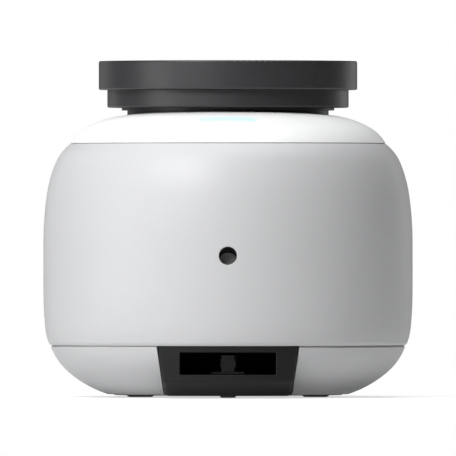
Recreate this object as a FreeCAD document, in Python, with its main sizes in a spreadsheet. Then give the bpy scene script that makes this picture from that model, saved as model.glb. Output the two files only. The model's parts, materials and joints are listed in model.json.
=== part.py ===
"""Two-wheel robot base: a parametric FreeCAD document, in millimetres.

The base stands on the plane Z = 0 and drives towards -Y. +Z is up and +X is the robot's
own left side. The origin lies on the floor under the middle of the payload deck.
"""
import FreeCAD, Part
import math
import os
import re
import Sketcher

from FreeCAD import Rotation, Vector

DIMENSIONS = [
    # Lengths that many cutters share.
    ("reach", 60, "length of a cutter that passes right through a wall"),
    ("outside", 300, "a distance from the origin that clears the whole casing"),
    # Casing: a half outline that is turned round both ends and run along the flanks.
    ("straight_half", 50, "half of the straight stretch between the two round ends"),
    ("wall", 3, "thickness of every moulded shell"),
    ("body_radius", 221.1, "half width of the casing at its belly"),
    ("belly_low", 128, "lower end of the upright part of the belly"),
    ("belly_high", 186, "upper end of the upright part of the belly"),
    ("under_arc", 461, "first arc below the belly"),
    ("under_angle", -5.48, "surface normal where that arc ends"),
    ("tuck_arc", 76, "arc that turns in towards the lower seam"),
    ("tuck_angle", -18.5, "surface normal where that arc ends"),
    ("hem_arc", 10, "arc that rolls the main shell's lower rim under"),
    ("hem_angle", -50, "surface normal at the main shell's lower rim"),
    ("upper_arc", 394, "first arc above the belly"),
    ("upper_angle", 8.3, "surface normal where that arc ends"),
    ("shoulder_arc", 156.9, "second arc above the belly"),
    ("shoulder_angle", 22.74, "surface normal where that arc ends"),
    ("brow_arc", 54.8, "arc that turns in to the upper seam"),
    ("brow_angle", 53.4, "surface normal at the main shell's upper rim"),
    ("keel_rim_radius", 211.9, "half width of the lower shell below its rim's rounding"),
    ("keel_rim_height", 62.3, "height of the lower shell's upper rim"),
    ("keel_rim_edge", 1.5, "size of the bevel round that rim"),
    ("keel_rim_angle", -20.1, "surface normal where the rounding ends"),
    ("keel_arc", 71.2, "upper arc of the lower shell"),
    ("keel_angle", -47.5, "surface normal where that arc ends"),
    ("bilge_arc", 131.6, "lower arc of the lower shell"),
    ("bilge_angle", -72.3, "surface normal at the lower shell's bottom edge"),
    ("crown_height", 342.2, "height of the top cover's flat middle"),
    ("crown_flat", 51.7, "half width of that flat"),
    ("crown_arc", 589, "first arc of the top cover"),
    ("crown_angle", 82.6, "surface normal where that arc ends"),
    ("slope_arc", 118.3, "second arc of the top cover"),
    ("slope_angle", 61.39, "surface normal where that arc ends"),
    ("cover_rim_arc", 50.9, "arc that runs down to the upper seam"),
    ("cover_rim_angle", 30.1, "surface normal at the top cover's rim"),
    ("lip_thickness", 3, "thickness of the locating lips and ledges behind the seams"),
    ("lip_height", 14, "height of the top cover's lip"),
    ("join_overlap", 0.1, "how far walls that are fused reach into each other"),
    ("lip_overlap", 5, "how far the lower lips reach to each side of their seam"),
    ("cover_lip_radius", 181.5, "inner radius of the top cover's lip"),
    ("cover_lip_low", 296, "height of the lower edge of the top cover's lip"),
    ("ledge_depth", 12, "how far the ledge for the middle plate stands in"),
    ("ledge_height", 6, "thickness of that ledge"),
    # Front panel with its scanner slot.
    ("panel_top_half", 83.7, "half width of the front panel at its top"),
    ("panel_bottom_half", 75.6, "half width of the front panel at its bottom"),
    ("panel_corner", 6, "radius of the panel's lower corners"),
    ("panel_flare", 0.5, "how much wider the panel is above those corners"),
    ("panel_gap", 1.2, "gap between the panel and the shell round it"),
    ("panel_brow_edge", 4, "rounding of the panel's slanted sides"),
    ("panel_lip_setback", 2, "how far the panel's lip stands behind its face"),
    ("tongue_lap", 9, "how far the panel's foot laps over the base plate's tongue"),
    ("tongue_gap", 1, "gap between the tongue's end and the panel's foot"),
    ("chin_edge", 5, "rounding of the chin line"),
    ("panel_face_high", 211.3, "radius of the panel's face at its top"),
    ("panel_face_low", 209.8, "radius of the panel's face at the chin line"),
    ("chin_height", 20.4, "height of the chin line"),
    ("chin_foot_radius", 187, "radius of the panel's foot"),
    ("panel_foot_height", 4, "height of the panel's foot"),
    ("slot_width", 114.2, "width of the scanner slot"),
    ("slot_height", 26.6, "height of the scanner slot"),
    ("slot_middle", 41.6, "height of the slot's middle, which is the scan plane"),
    ("slot_corner", 1.5, "radius of the slot's corners"),
    ("slot_edge", 0.9, "chamfer round the slot"),
    ("tunnel_wall", 2, "thickness of the slot's tunnel"),
    ("tunnel_end", 222, "how far forward of the origin the tunnel ends inside"),
    # Upward-looking range sensor.
    ("sensor_height", 169.8, "height of the sensor port's middle"),
    ("sensor_radius", 10.7, "radius of the port in the main shell"),
    ("port_edge", 1, "chamfer round the port"),
    ("sensor_tilt", 20, "upward tilt of the sensor"),
    ("sleeve_wall", 2.4, "wall of the sensor sleeve"),
    ("sleeve_depth", 36, "length of the sleeve behind the shell"),
    ("sleeve_flange", 21, "radius of the sleeve's flange"),
    ("transducer_depth", 18.5, "how far the transducer's face lies down the sleeve"),
    ("transducer_length", 14, "length of the transducer's can"),
    # Light bar.
    ("bar_length", 68.5, "length of the light bar"),
    ("bar_breadth", 15.4, "breadth of the light bar, in plan"),
    ("bar_forward", 198.1, "how far forward of the origin its middle lies"),
    ("bar_gap", 0.2, "gap between the light bar and the cover"),
    ("bar_board_drop", 21, "how far the light board's front edge lies below the crown"),
    ("bar_board_margin", 6, "how far the light board reaches past the bar's ends"),
    ("bar_board_width", 20, "width of the light board"),
    ("bar_board_tilt", 18, "slope of the light board"),
    # Chassis plates and pillars.
    ("plate_height", 3, "height of the base plate's underside"),
    ("plate_thickness", 3, "thickness of the base plate and the middle plate"),
    ("plate_radius", 136.5, "end radius of the base plate"),
    ("flange_radius", 120, "inner radius of the shell's flange on the base plate"),
    ("tongue_half", 72, "half width of the base plate's front tongue"),
    ("tongue_radius", 181.5, "end radius of the tongue"),
    ("mid_height", 160, "height of the middle plate's underside"),
    ("cable_way_width", 60, "width of the cable way in the middle plate"),
    ("cable_way_length", 40, "length of that cable way"),
    ("cable_way_place", 110, "how far back its middle lies"),
    ("mid_radius", 214, "end radius of the middle plate"),
    ("frame_height", 320, "height of the top frame's underside"),
    ("frame_thickness", 4, "thickness of the top frame"),
    ("frame_radius", 132, "end radius of the top frame"),
    ("frame_hole", 98, "radius of the opening in the top frame"),
    ("pillar_radius", 8, "radius of the pillars"),
    ("pillar_across", 76, "pillars' distance from the middle, sideways"),
    ("pillar_along", 130, "pillars' distance from the middle, lengthways"),
    # Payload deck on its neck and bearing.
    ("neck_radius", 120.8, "outer radius of the neck"),
    ("neck_opening", 122, "radius of the opening in the top cover"),
    ("neck_wall", 3.5, "thickness of the neck"),
    ("neck_top", 343.9, "height of the neck's shoulder"),
    ("lip_radius", 127.5, "radius of the neck's lip plate"),
    ("lip_top", 346.8, "height of the lip plate's upper face"),
    ("neck_foot", 104, "inner radius of the neck's foot flange"),
    ("neck_bore", 56, "radius of the cable way through the neck"),
    ("turn_gap", 0.3, "gap between the fixed lip and the turning skirt"),
    ("skirt_radius", 144.8, "outer radius of the deck's skirt"),
    ("deck_wall", 4, "thickness of the skirt and the deck"),
    ("deck_radius", 155.1, "outer radius of the deck plate"),
    ("deck_base", 368.4, "height of the deck plate's lower edge"),
    ("deck_top", 403, "height of the deck's upper face"),
    ("deck_edge", 2, "rounding of the deck's edges"),
    ("deck_flange", 126, "inner radius of the deck plate's screw flange"),
    ("hub_outer", 94, "outer radius of the deck's hub ring"),
    ("hub_inner", 76, "inner radius of the deck's hub ring"),
    ("race_inner_bore", 58, "bore of the deck bearing"),
    ("race_outer", 88, "outer radius of the deck bearing"),
    ("race_height", 14, "height of each bearing ring"),
    ("ball_circle", 73, "radius of the circle of balls"),
    ("ball_radius", 4, "radius of a ball"),
    ("ball_play", 0.05, "radial play of the balls in their grooves"),
    ("race_gap", 1.8, "half of the gap between the bearing rings"),
    ("deck_screw_circle", 133.5, "radius of the circle of deck screws"),
    ("deck_hole_circle", 110, "radius of the circle of threaded payload holes"),
    ("deck_hole_radius", 2.5, "core radius of the M6 payload holes"),
    ("deck_boss_radius", 7, "radius of the bosses round the payload holes"),
    ("deck_boss_height", 18, "depth of the payload holes"),
    # Drive wheels on sprung arms.
    ("wheel_radius", 75, "radius of the drive wheels"),
    ("wheel_inner", 87, "distance from the middle to a tyre's inner face"),
    ("wheel_width", 36, "width of a tyre"),
    ("tyre_shoulder", 6, "rounding of a tyre's shoulders"),
    ("rim_radius", 58, "radius of the hub under the tyre"),
    ("rim_wall", 4, "thickness of the hub's can"),
    ("axle_radius", 7, "radius of the wheel axle"),
    ("run_play", 0.05, "radial play of every running fit"),
    ("stator_radius", 52, "outer radius of the motor's stator"),
    ("stator_width", 21, "width of the stator"),
    ("stator_slot", 7, "width of the slots between the stator's teeth"),
    ("wheel_slot_margin", 4, "gap between a tyre and the sides of its slot"),
    ("wheel_slot_length", 108, "length of the slot for a drive wheel"),
    ("arm_inner", 73, "distance from the middle to the swing arm's inner face"),
    ("arm_thickness", 8, "thickness of the swing arm"),
    ("arm_height", 20, "height of the swing arm's bar"),
    ("arm_pivot", 70, "how far forward of the axle the arm's pivot lies"),
    ("arm_tail", 50, "how far behind the axle the arm ends"),
    ("pin_radius", 6, "radius of the pivot pin"),
    ("bracket_inner", 58, "distance from the middle to the pivot bracket's inner face"),
    ("bracket_length", 28, "length of the pivot bracket"),
    ("spring_across", 68, "spring's distance from the middle, sideways"),
    ("spring_along", 40, "how far behind the axle the spring stands"),
    ("spring_radius", 8, "mean radius of the spring"),
    ("spring_wire", 1.2, "radius of the spring's wire"),
    ("spring_pitch", 8.5, "pitch of the spring"),
    # Casters.
    ("caster_along", 132, "casters' distance from the middle, lengthways"),
    ("caster_trail", 14, "trail of a caster"),
    ("caster_radius", 25, "radius of a caster wheel"),
    ("caster_width", 20, "width of a caster wheel"),
    ("caster_hole", 37.5, "radius of the hole for a caster"),
    ("caster_axle", 4, "radius of a caster's axle"),
    ("fork_plate", 3, "thickness of the fork's legs"),
    ("fork_top", 58, "height of the fork's upper face"),
    ("stem_radius", 8, "radius of the fork's stem"),
    ("bridge_half", 44, "half of the space between the bridge's legs"),
    ("bridge_plate", 4, "thickness of the bridge's legs"),
    ("bridge_length", 40, "length of the bridge"),
    # Scanner.
    ("scanner_forward", 197, "how far forward of the origin the scanner's axis lies"),
    ("scanner_size", 39, "side of the scanner's square base"),
    ("scanner_base", 14, "height of the scanner's base"),
    ("rotor_radius", 17, "radius of the scanner's rotor"),
    ("rotor_height", 19.4, "height of the scanner's rotor"),
    ("rotor_gap", 0.4, "gap under the rotor"),
    ("shroud_half", 62, "half width of the shroud round the scanner"),
    ("shroud_top", 58, "height of the shroud's roof"),
    ("shroud_foot", 9.4, "height of the shroud's side walls above the floor"),
    ("rotor_stub", 4, "radius of the rotor's stub"),
    # Battery and electronics.
    ("battery_width", 96, "width of the battery pack"),
    ("battery_length", 150, "length of the battery pack"),
    ("battery_height", 72, "height of the battery pack"),
    ("strap_thickness", 2, "thickness of the battery bracket"),
    ("strap_width", 60, "width of the battery bracket"),
    ("board_thickness", 1.6, "thickness of every circuit board"),
    ("standoff", 8, "height of the boards above the middle plate"),
    # Rear service panel.
    ("tray_width", 112, "width of the rear panel"),
    ("tray_height", 62, "height of the rear panel"),
    ("tray_middle", 110, "height of the rear panel's middle"),
    ("tray_floor", 258, "distance from the origin to the rear panel's inner face"),
    ("tray_gap", 0.5, "gap between the rear panel and the main shell"),
    ("tray_corner", 6, "radius of the rear panel's corners"),
    ("tray_wall", 3, "thickness of the rear panel"),
    ("control_offset", 28, "sideways distance of the button and the socket"),
    ("button_radius", 9, "radius of the power button"),
    ("button_travel", 1.5, "travel of the power button"),
    ("socket_radius", 8, "radius of the charging socket"),
    ("contact_width", 16, "width of a charging contact"),
    ("contact_height", 26, "height of a charging contact"),
    ("contact_middle", 38, "height of the charging contacts' middle"),
    ("contact_gap", 0.4, "gap round a charging contact"),
    ("contact_root", 2, "how far a charging contact reaches inside the shell"),
    ("contact_offset", 32, "sideways distance of the charging contacts"),
    ("contact_proud", 0.8, "how far the charging contacts stand proud"),
    # Screws.
    ("screw_radius", 1.9, "radius of the M4 screws' shanks"),
    ("screw_head", 3.4, "radius of the screws' heads"),
    ("screw_head_height", 2.2, "height of the screws' heads"),
    ("base_screw_circle", 130, "end radius on which the base screws stand"),
    ("ledge_screw_circle", 211, "end radius on which the ledge screws stand"),
]

BEARING_BALLS = 24
DECK_SCREWS = 6
DECK_HOLES = 4
DECK_RIBS = 8
STATOR_TEETH = 12
SIDES = {"left": 1, "right": -1}
ENDS = {"front": -1, "rear": 1}
UPWARD, DOWNWARD = 1, -1

doc = FreeCAD.newDocument("two_wheel_robot_base")
sheet = doc.addObject("Spreadsheet::Sheet", "Dims")
for row, (alias, size, meaning) in enumerate(DIMENSIONS, start=1):
    sheet.set(f"A{row}", alias)
    sheet.set(f"B{row}", str(size))
    sheet.set(f"C{row}", meaning)
    sheet.setAlias(f"B{row}", alias)
doc.recompute()

ALIASES = {alias for alias, size, meaning in DIMENSIONS}
WORD = re.compile(r"[A-Za-z_]+")
nodes = []


# ---- Binding -----------------------------------------------------------------------------

def from_sheet(formula):
    """The formula with every alias pointed at the spreadsheet."""
    def point(match):
        word = match.group()
        return "Dims." + word if word in ALIASES else word
    return WORD.sub(point, str(formula))


def size_of(formula):
    return float(sheet.evalExpression(from_sheet(formula)))


def bind(item, prop, formula):
    item.setExpression(prop, from_sheet(formula))


def place(item, x, y, z, rotation=None):
    """Puts an item's own origin at x, y, z, with an optional fixed rotation."""
    if rotation:
        item.Placement = FreeCAD.Placement(Vector(0, 0, 0), rotation)
    for axis, formula in zip("xyz", (x, y, z)):
        bind(item, f"Placement.Base.{axis}", formula)


def node(item):
    """Marks an item as a sub-part of its own, to be written to a file."""
    nodes.append(item)
    return item


# ---- Primitives and booleans -------------------------------------------------------------

AXIS_TURN = {
    "x": Rotation(Vector(0, 1, 0), 90),
    "y": Rotation(Vector(1, 0, 0), -90),
    "z": Rotation(),
}


def block(label, size, centre):
    """A box given by its three sizes and its centre."""
    item = doc.addObject("Part::Box", label)
    for prop, formula in zip(("Length", "Width", "Height"), size):
        bind(item, prop, formula)
    place(item, *(f"{middle} - ({side})/2" for middle, side in zip(centre, size)))
    return item


def rod(label, radius, length, centre, axis="z"):
    """A cylinder given by its centre."""
    item = doc.addObject("Part::Cylinder", label)
    bind(item, "Radius", radius)
    bind(item, "Height", length)
    foot = [f"{middle} - ({length})/2" if name == axis else middle
            for name, middle in zip("xyz", centre)]
    place(item, *foot, rotation=AXIS_TURN[axis])
    return item


def fuse(label, pieces):
    item = doc.addObject("Part::MultiFuse", label)
    item.Shapes = pieces
    return item


def cut(label, base, tools):
    item = doc.addObject("Part::Cut", label)
    item.Base = base
    item.Tool = tools[0] if len(tools) == 1 else fuse(label + "_tools", tools)
    return item


def common(label, base, tool):
    item = doc.addObject("Part::Common", label)
    item.Base = base
    item.Tool = tool
    return item


def stadium(label, radius, low, thickness):
    """A flat plate with round ends, like the casing's plan."""
    middle = f"{low} + ({thickness})/2"
    pieces = [block(label + "_middle", (f"2*({radius})", "2*straight_half", thickness), ("0", "0", middle))]
    for sign in ENDS.values():
        centre = ("0", f"{sign}*straight_half", middle)
        pieces.append(rod(label + "_end", radius, thickness, centre))
    return fuse(label, pieces)


def around(count, circle, start=0.0):
    """Places on a circle about the Z axis, as a pair of formulas each."""
    places = []
    for index in range(count):
        angle = start + 360.0 * index / count
        places.append((f"{circle}*cos({angle})", f"{circle}*sin({angle})"))
    return places


# ---- Sketched bodies ---------------------------------------------------------------------

def origin_plane(body, role):
    return next(item for item in body.Origin.OriginFeatures if item.Role == role)


def arc_geometry(start, end, radius, turn):
    """The arc from start to end whose centre is on the left for UPWARD, else on the right."""
    chord = end - start
    middle = (start + end) * 0.5
    rise = math.sqrt(max(radius ** 2 - (chord.Length / 2) ** 2, 0.0))
    left = Vector(-chord.y, chord.x, 0).normalize()
    centre = middle + left * rise * turn
    first, last = (start, end) if turn == UPWARD else (end, start)
    angles = [math.atan2(point.y - centre.y, point.x - centre.x) for point in (first, last)]
    circle = Part.Circle(centre, Vector(0, 0, 1), radius)
    return Part.ArcOfCircle(circle, angles[0], angles[1])


def outline_sketch(body, label, role, outline, offset="0"):
    """A closed outline; each entry is x, y and, for an arc that ends there, radius and turn."""
    sketch = body.newObject("Sketcher::SketchObject", label)
    sketch.AttachmentSupport = [(origin_plane(body, role), "")]
    sketch.MapMode = "FlatFace"
    bind(sketch, "AttachmentOffset.Base.z", offset)
    corners = [Vector(size_of(entry[0]), size_of(entry[1]), 0) for entry in outline]
    tails = []
    heads = []
    for index, entry in enumerate(outline):
        start = corners[index - 1]
        end = corners[index]
        if len(entry) == 2:
            sketch.addGeometry(Part.LineSegment(start, end), False)
            tails.append(1)
            heads.append(2)
            continue
        radius, turn = entry[2:]
        sketch.addGeometry(arc_geometry(start, end, size_of(radius), turn), False)
        tails.append(1 if turn == UPWARD else 2)
        heads.append(2 if turn == UPWARD else 1)
        bound_constraint(sketch, ("Radius", index), size_of(radius), f"radius_{index}", radius)
    for index, entry in enumerate(outline):
        following = (index + 1) % len(outline)
        joined = Sketcher.Constraint("Coincident", index, heads[index], following, tails[following])
        sketch.addConstraint(joined)
        for kind, coordinate, formula in zip(("DistanceX", "DistanceY"), corners[index], entry):
            geometry = (kind, -1, 1, index, heads[index])
            bound_constraint(sketch, geometry, coordinate, f"{kind}_{index}", formula)
    return sketch


def bound_constraint(sketch, geometry, start_value, name, formula):
    """A sketch constraint with a name, driven by the spreadsheet."""
    index = sketch.addConstraint(Sketcher.Constraint(*geometry, start_value))
    sketch.renameConstraint(index, name)
    bind(sketch, f"Constraints.{name}", formula)


def turned(label, outline):
    """An outline turned about the Z axis."""
    body = doc.addObject("PartDesign::Body", label)
    sketch = outline_sketch(body, label + "_outline", "XZ_Plane", outline)
    feature = body.newObject("PartDesign::Revolution", label + "_turned")
    feature.Profile = sketch
    feature.ReferenceAxis = (sketch, ["V_Axis"])
    feature.Angle = 360
    body.Tip = feature
    return body


def turned_about_x(label, outline, side, y, z):
    """An outline turned about an axle along X; its second coordinate runs outward from X = 0."""
    body = turned(label, outline)
    place(body, "0", y, z, rotation=Rotation(Vector(0, 1, 0), 90 * side))
    return body


def oblong(label, outline):
    """An outline turned round both ends of the casing and run along its straight flanks."""
    body = doc.addObject("PartDesign::Body", label)
    sketch = outline_sketch(body, label + "_outline", "XZ_Plane", outline, "-straight_half")
    end = body.newObject("PartDesign::Revolution", label + "_end")
    end.Profile = sketch
    end.ReferenceAxis = (sketch, ["V_Axis"])
    end.Angle = 180
    flank = body.newObject("PartDesign::Pad", label + "_flank")
    flank.Profile = sketch
    bind(flank, "Length", "2*straight_half")
    other_flank = body.newObject("PartDesign::Mirrored", label + "_other_flank")
    other_flank.Originals = [flank]
    other_flank.MirrorPlane = (origin_plane(body, "YZ_Plane"), [""])
    body.Tip = other_flank
    doc.recompute()
    other_end = body.newObject("PartDesign::Mirrored", label + "_other_end")
    other_end.Originals = [end]
    other_end.MirrorPlane = (origin_plane(body, "XZ_Plane"), [""])
    body.Tip = other_end
    return body


def prism(label, role, outline, start, length):
    """An outline padded along its plane's normal, from start and over length."""
    body = doc.addObject("PartDesign::Body", label)
    sketch = outline_sketch(body, label + "_outline", role, outline, start)
    feature = body.newObject("PartDesign::Pad", label + "_pad")
    feature.Profile = sketch
    bind(feature, "Length", length)
    body.Tip = feature
    return body


def rounded_rectangle(width, height, corner, middle="0"):
    """The outline of a rectangle with round corners, its centre at 0, middle."""
    half_w = f"({width})/2"
    half_h = f"({height})/2"
    corners = [(1, -1), (1, 1), (-1, 1), (-1, -1)]
    outline = []
    for right, up in corners:
        on_side = (f"{right}*({half_w})", f"{middle} + {up}*({half_h} - ({corner}))")
        on_end = (f"{right}*({half_w} - ({corner}))", f"{middle} + {up}*({half_h})")
        first, last = (on_side, on_end) if right * up > 0 else (on_end, on_side)
        outline.append(first)
        outline.append((*last, corner, UPWARD))
    return outline


def arc_run(x, z, angle, arcs, inset="0", turn=UPWARD):
    """Tangent arcs from x, z, each a radius and the surface normal's angle at its end."""
    points = [(f"{x} - ({inset})*cos({angle})", f"{z} - ({inset})*sin({angle})")]
    for radius, end in arcs:
        x = f"{x} + {radius}*(cos({end}) - cos({angle}))"
        z = f"{z} + {radius}*(sin({end}) - sin({angle}))"
        angle = end
        point = (f"{x} - ({inset})*cos({angle})", f"{z} - ({inset})*sin({angle})")
        points.append((*point, f"{radius} - ({inset})", turn))
    return points


def backward(points):
    """The same run of points and arcs, travelled the other way."""
    run = [points[-1][:2]]
    for later, earlier in zip(reversed(points[1:]), reversed(points[:-1])):
        arc = (later[2], -later[3]) if len(later) == 4 else ()
        run.append((*earlier[:2], *arc))
    return run


# ---- Casing ------------------------------------------------------------------------------

KEEL_ARCS = [("keel_arc", "keel_angle"), ("bilge_arc", "bilge_angle")]
UNDER_ARCS = [("under_arc", "under_angle"), ("tuck_arc", "tuck_angle"), ("hem_arc", "hem_angle")]
UPPER_ARCS = [("upper_arc", "upper_angle"), ("shoulder_arc", "shoulder_angle"), ("brow_arc", "brow_angle")]
CROWN_ARCS = [
    ("crown_arc", "crown_angle"),
    ("slope_arc", "slope_angle"),
    ("cover_rim_arc", "cover_rim_angle"),
]
PLATE_TOP = "(plate_height + plate_thickness)"
MID_TOP = "(mid_height + plate_thickness)"
FRONT = "(-straight_half - body_radius)"
KEEL_START = "(keel_rim_height - keel_rim_edge*(1 - sin(keel_rim_angle)))"


def keel_run(inset):
    return arc_run("keel_rim_radius", KEEL_START, "keel_rim_angle", KEEL_ARCS, inset, DOWNWARD)


def belly_run(inset):
    under = arc_run("body_radius", "belly_low", "0", UNDER_ARCS, inset, DOWNWARD)
    upper = arc_run("body_radius", "belly_high", "0", UPPER_ARCS, inset)
    return backward(under) + upper


def crown_run(inset):
    return arc_run("crown_flat", "crown_height", "90", CROWN_ARCS, inset, DOWNWARD)


def ring_outline(inner, outer, low, high):
    return [(inner, low), (outer, low), (outer, high), (inner, high)]


PANEL_TAPER = ("(panel_top_half - panel_bottom_half - panel_flare)"
               "/(keel_rim_height - panel_foot_height - panel_corner)")


def panel_prism(label, grow, rise="0"):
    """The tapered outline of the front panel, run forward from inside the casing."""
    low = f"panel_foot_height - ({grow})"
    high = f"keel_rim_height + {rise}"
    corner = "panel_corner*1.05"
    outline = []
    for right in (1, -1):
        foot = (f"{right}*(panel_bottom_half + ({grow}) - panel_corner)", low)
        cheek = (f"{right}*(panel_bottom_half + ({grow}) + panel_flare)", f"{low} + panel_corner")
        brow = (f"{right}*(panel_top_half + ({grow}) + ({rise})*{PANEL_TAPER})", high)
        if right == 1:
            outline += [foot, (*cheek, corner, UPWARD), brow]
        else:
            outline += [brow, cheek, (*foot, corner, UPWARD)]
    return prism(label, "XZ_Plane", outline, "plate_radius", "plate_radius")


def straight_cut(label, width, height, middle, start, length, corner="slot_corner"):
    """A rounded rectangular hole along Y, from start forward over length."""
    return prism(label, "XZ_Plane", rounded_rectangle(width, height, corner, middle), start, length)


def inside_front(label, radius):
    """All that lies within a radius of the front end's axis."""
    return rod(label, radius, "2*crown_height", ("0", "-straight_half", "crown_height"))


def place_on_ends(circle, angles):
    """Places at the given angles from +X on both round ends, mirrored left and right."""
    places = []
    for sign in ENDS.values():
        for across in SIDES.values():
            for angle in angles:
                x = f"{across}*{circle}*cos({angle})"
                y = f"{sign}*(straight_half + {circle}*sin({angle}))"
                places.append((x, y))
    return places


BASE_SCREW_PLACES = place_on_ends("base_screw_circle", (15, 42))
LEDGE_SCREW_PLACES = place_on_ends("ledge_screw_circle", (12, 62))


def lower_shell():
    wall_run = keel_run("0")
    lining = keel_run("wall")
    clear_radius = "(plate_radius + 2)"
    flange_top = f"({PLATE_TOP} + wall)"
    rim_start = "keel_rim_radius - keel_rim_edge*cos(keel_rim_angle)"
    outline = [(lining[0][0], "keel_rim_height"), (rim_start, "keel_rim_height")]
    outline += wall_run
    outline += [(clear_radius, wall_run[-1][1]), (clear_radius, PLATE_TOP)]
    outline += [("flange_radius", PLATE_TOP), ("flange_radius", flange_top)]
    outline += [(lining_x_at(flange_top), flange_top)]
    outline += [(*lining[1][:2], "bilge_arc - wall", UPWARD)]
    outline += [(*lining[0][:2], "keel_arc - wall", UPWARD)]
    shell = oblong("lower_shell_wall", outline)
    lip_outer = f"({lining[0][0]} + join_overlap)"
    lip = oblong("lower_shell_lip", ring_outline(
        f"{lip_outer} - lip_thickness", lip_outer,
        "keel_rim_height - lip_overlap", "keel_rim_height + lip_overlap"))
    tools = [panel_prism("panel_opening", "panel_gap", "8")]
    for side in SIDES.values():
        tools.append(wheel_slot("shell_wheel_slot", side))
        tools.append(contact_block("shell_contact_slot", side, "contact_gap"))
    for x, y in BASE_SCREW_PLACES:
        tools.append(rod("shell_screw_hole", "screw_radius", "reach/2", (x, y, PLATE_TOP)))
    node(cut("lower_shell", fuse("lower_shell_blank", [shell, lip]), tools))


def lining_x_at(height):
    """Where the lower shell's inner face passes a height."""
    centre_x = ("(keel_rim_radius + keel_arc*(cos(keel_angle) - cos(keel_rim_angle))"
                " - bilge_arc*cos(keel_angle))")
    centre_z = (f"({KEEL_START} + keel_arc*(sin(keel_angle) - sin(keel_rim_angle))"
                " - bilge_arc*sin(keel_angle))")
    return f"{centre_x} + sqrt((bilge_arc - wall)^2 - ({height} - {centre_z})^2)"


def wheel_slot(label, side):
    """The opening that a drive wheel drops through."""
    size = ("wheel_width + 2*wheel_slot_margin", "wheel_slot_length", "reach/2")
    return block(label, size, (f"{side}*(wheel_inner + wheel_width/2)", "0", "5"))


def contact_block(label, side, grow):
    size = (f"contact_width + 2*{grow}", "reach", f"contact_height + 2*{grow}")
    middle_y = "straight_half + body_radius - reach/2"
    return block(label, size, (f"{side}*contact_offset", middle_y, "contact_middle"))


def charge_contacts():
    wall_run = keel_run("-contact_proud")
    lining = backward(keel_run("wall + contact_root"))
    band = oblong("contact_band", wall_run + lining)
    blocks = [contact_block("contact_block", side, "0") for side in SIDES.values()]
    node(common("charge_contacts", band, fuse("contact_blocks", blocks)))


def main_shell():
    shell = oblong("main_shell_wall", belly_run("0") + backward(belly_run("wall")))
    ledge_inner = "body_radius - wall - ledge_depth"
    ledge = oblong("main_shell_ledge", ring_outline(ledge_inner, "body_radius - wall + 1",
                                                    "mid_height - ledge_height", "mid_height"))
    ledge = cut("notched_ledge", ledge, [sensor_notch("ledge_notch")])
    tools = [port_chamfer()]
    tools.append(rod("sensor_port", "sensor_radius", "reach/2", ("0", FRONT, "sensor_height"), "y"))
    tools.append(straight_cut("tray_opening", "tray_width + 2*tray_gap", "tray_height + 2*tray_gap",
                              "tray_middle", "-outside", "reach", "tray_corner + tray_gap"))
    tools += [rod("ledge_screw_hole", "screw_radius", "reach/2", (x, y, "mid_height"))
              for x, y in LEDGE_SCREW_PLACES]
    node(cut("main_shell", fuse("main_shell_blank", [shell, ledge]), tools))


def port_chamfer():
    """The conical edge of the sensor's port."""
    item = doc.addObject("Part::Cone", "port_chamfer")
    bind(item, "Radius1", "sensor_radius + 2*port_edge")
    bind(item, "Radius2", "sensor_radius")
    bind(item, "Height", "2*port_edge")
    place(item, "0", f"{FRONT} - port_edge", "sensor_height", rotation=AXIS_TURN["y"])
    return item


def top_cover():
    skin = crown_run("0")
    lining = crown_run("wall")
    axis_top = ("0", "crown_height")
    axis_low = ("0", "crown_height - wall")
    wall_body = oblong("top_cover_wall", [axis_top] + skin + backward(lining) + [axis_low])
    lip = oblong("top_cover_lip", ring_outline(
        "cover_lip_radius", "cover_lip_radius + lip_thickness",
        "cover_lip_low", "cover_lip_low + lip_height"))
    blank = fuse("top_cover_blank", [wall_body, lip])
    hole = rod("neck_hole", "neck_opening", "reach", ("0", "0", "crown_height"))
    node(cut("top_cover", blank, [hole, light_pill("bar_opening", "bar_gap")]))
    node(common("light_bar", wall_body, light_pill("bar_pill", "0")))


def light_pill(label, grow):
    """A straight pill in plan, run upwards through the crown."""
    breadth = f"bar_breadth + 2*{grow}"
    corner = f"({breadth})/2 - 0.05"
    shape = rounded_rectangle(f"bar_length + 2*{grow}", breadth, corner, "-bar_forward")
    return prism(label, "XY_Plane", shape, "crown_height - reach/2", "reach")


def light_board():
    length = "(bar_length + 2*bar_board_margin)"
    board = block("light_board", (length, "bar_board_width", "board_thickness"), ("0", "0", "0"))
    place(board, f"-{length}/2", "-bar_forward - bar_board_width/2", "crown_height - bar_board_drop",
          rotation=Rotation(Vector(1, 0, 0), size_of("bar_board_tilt")))
    node(board)


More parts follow.
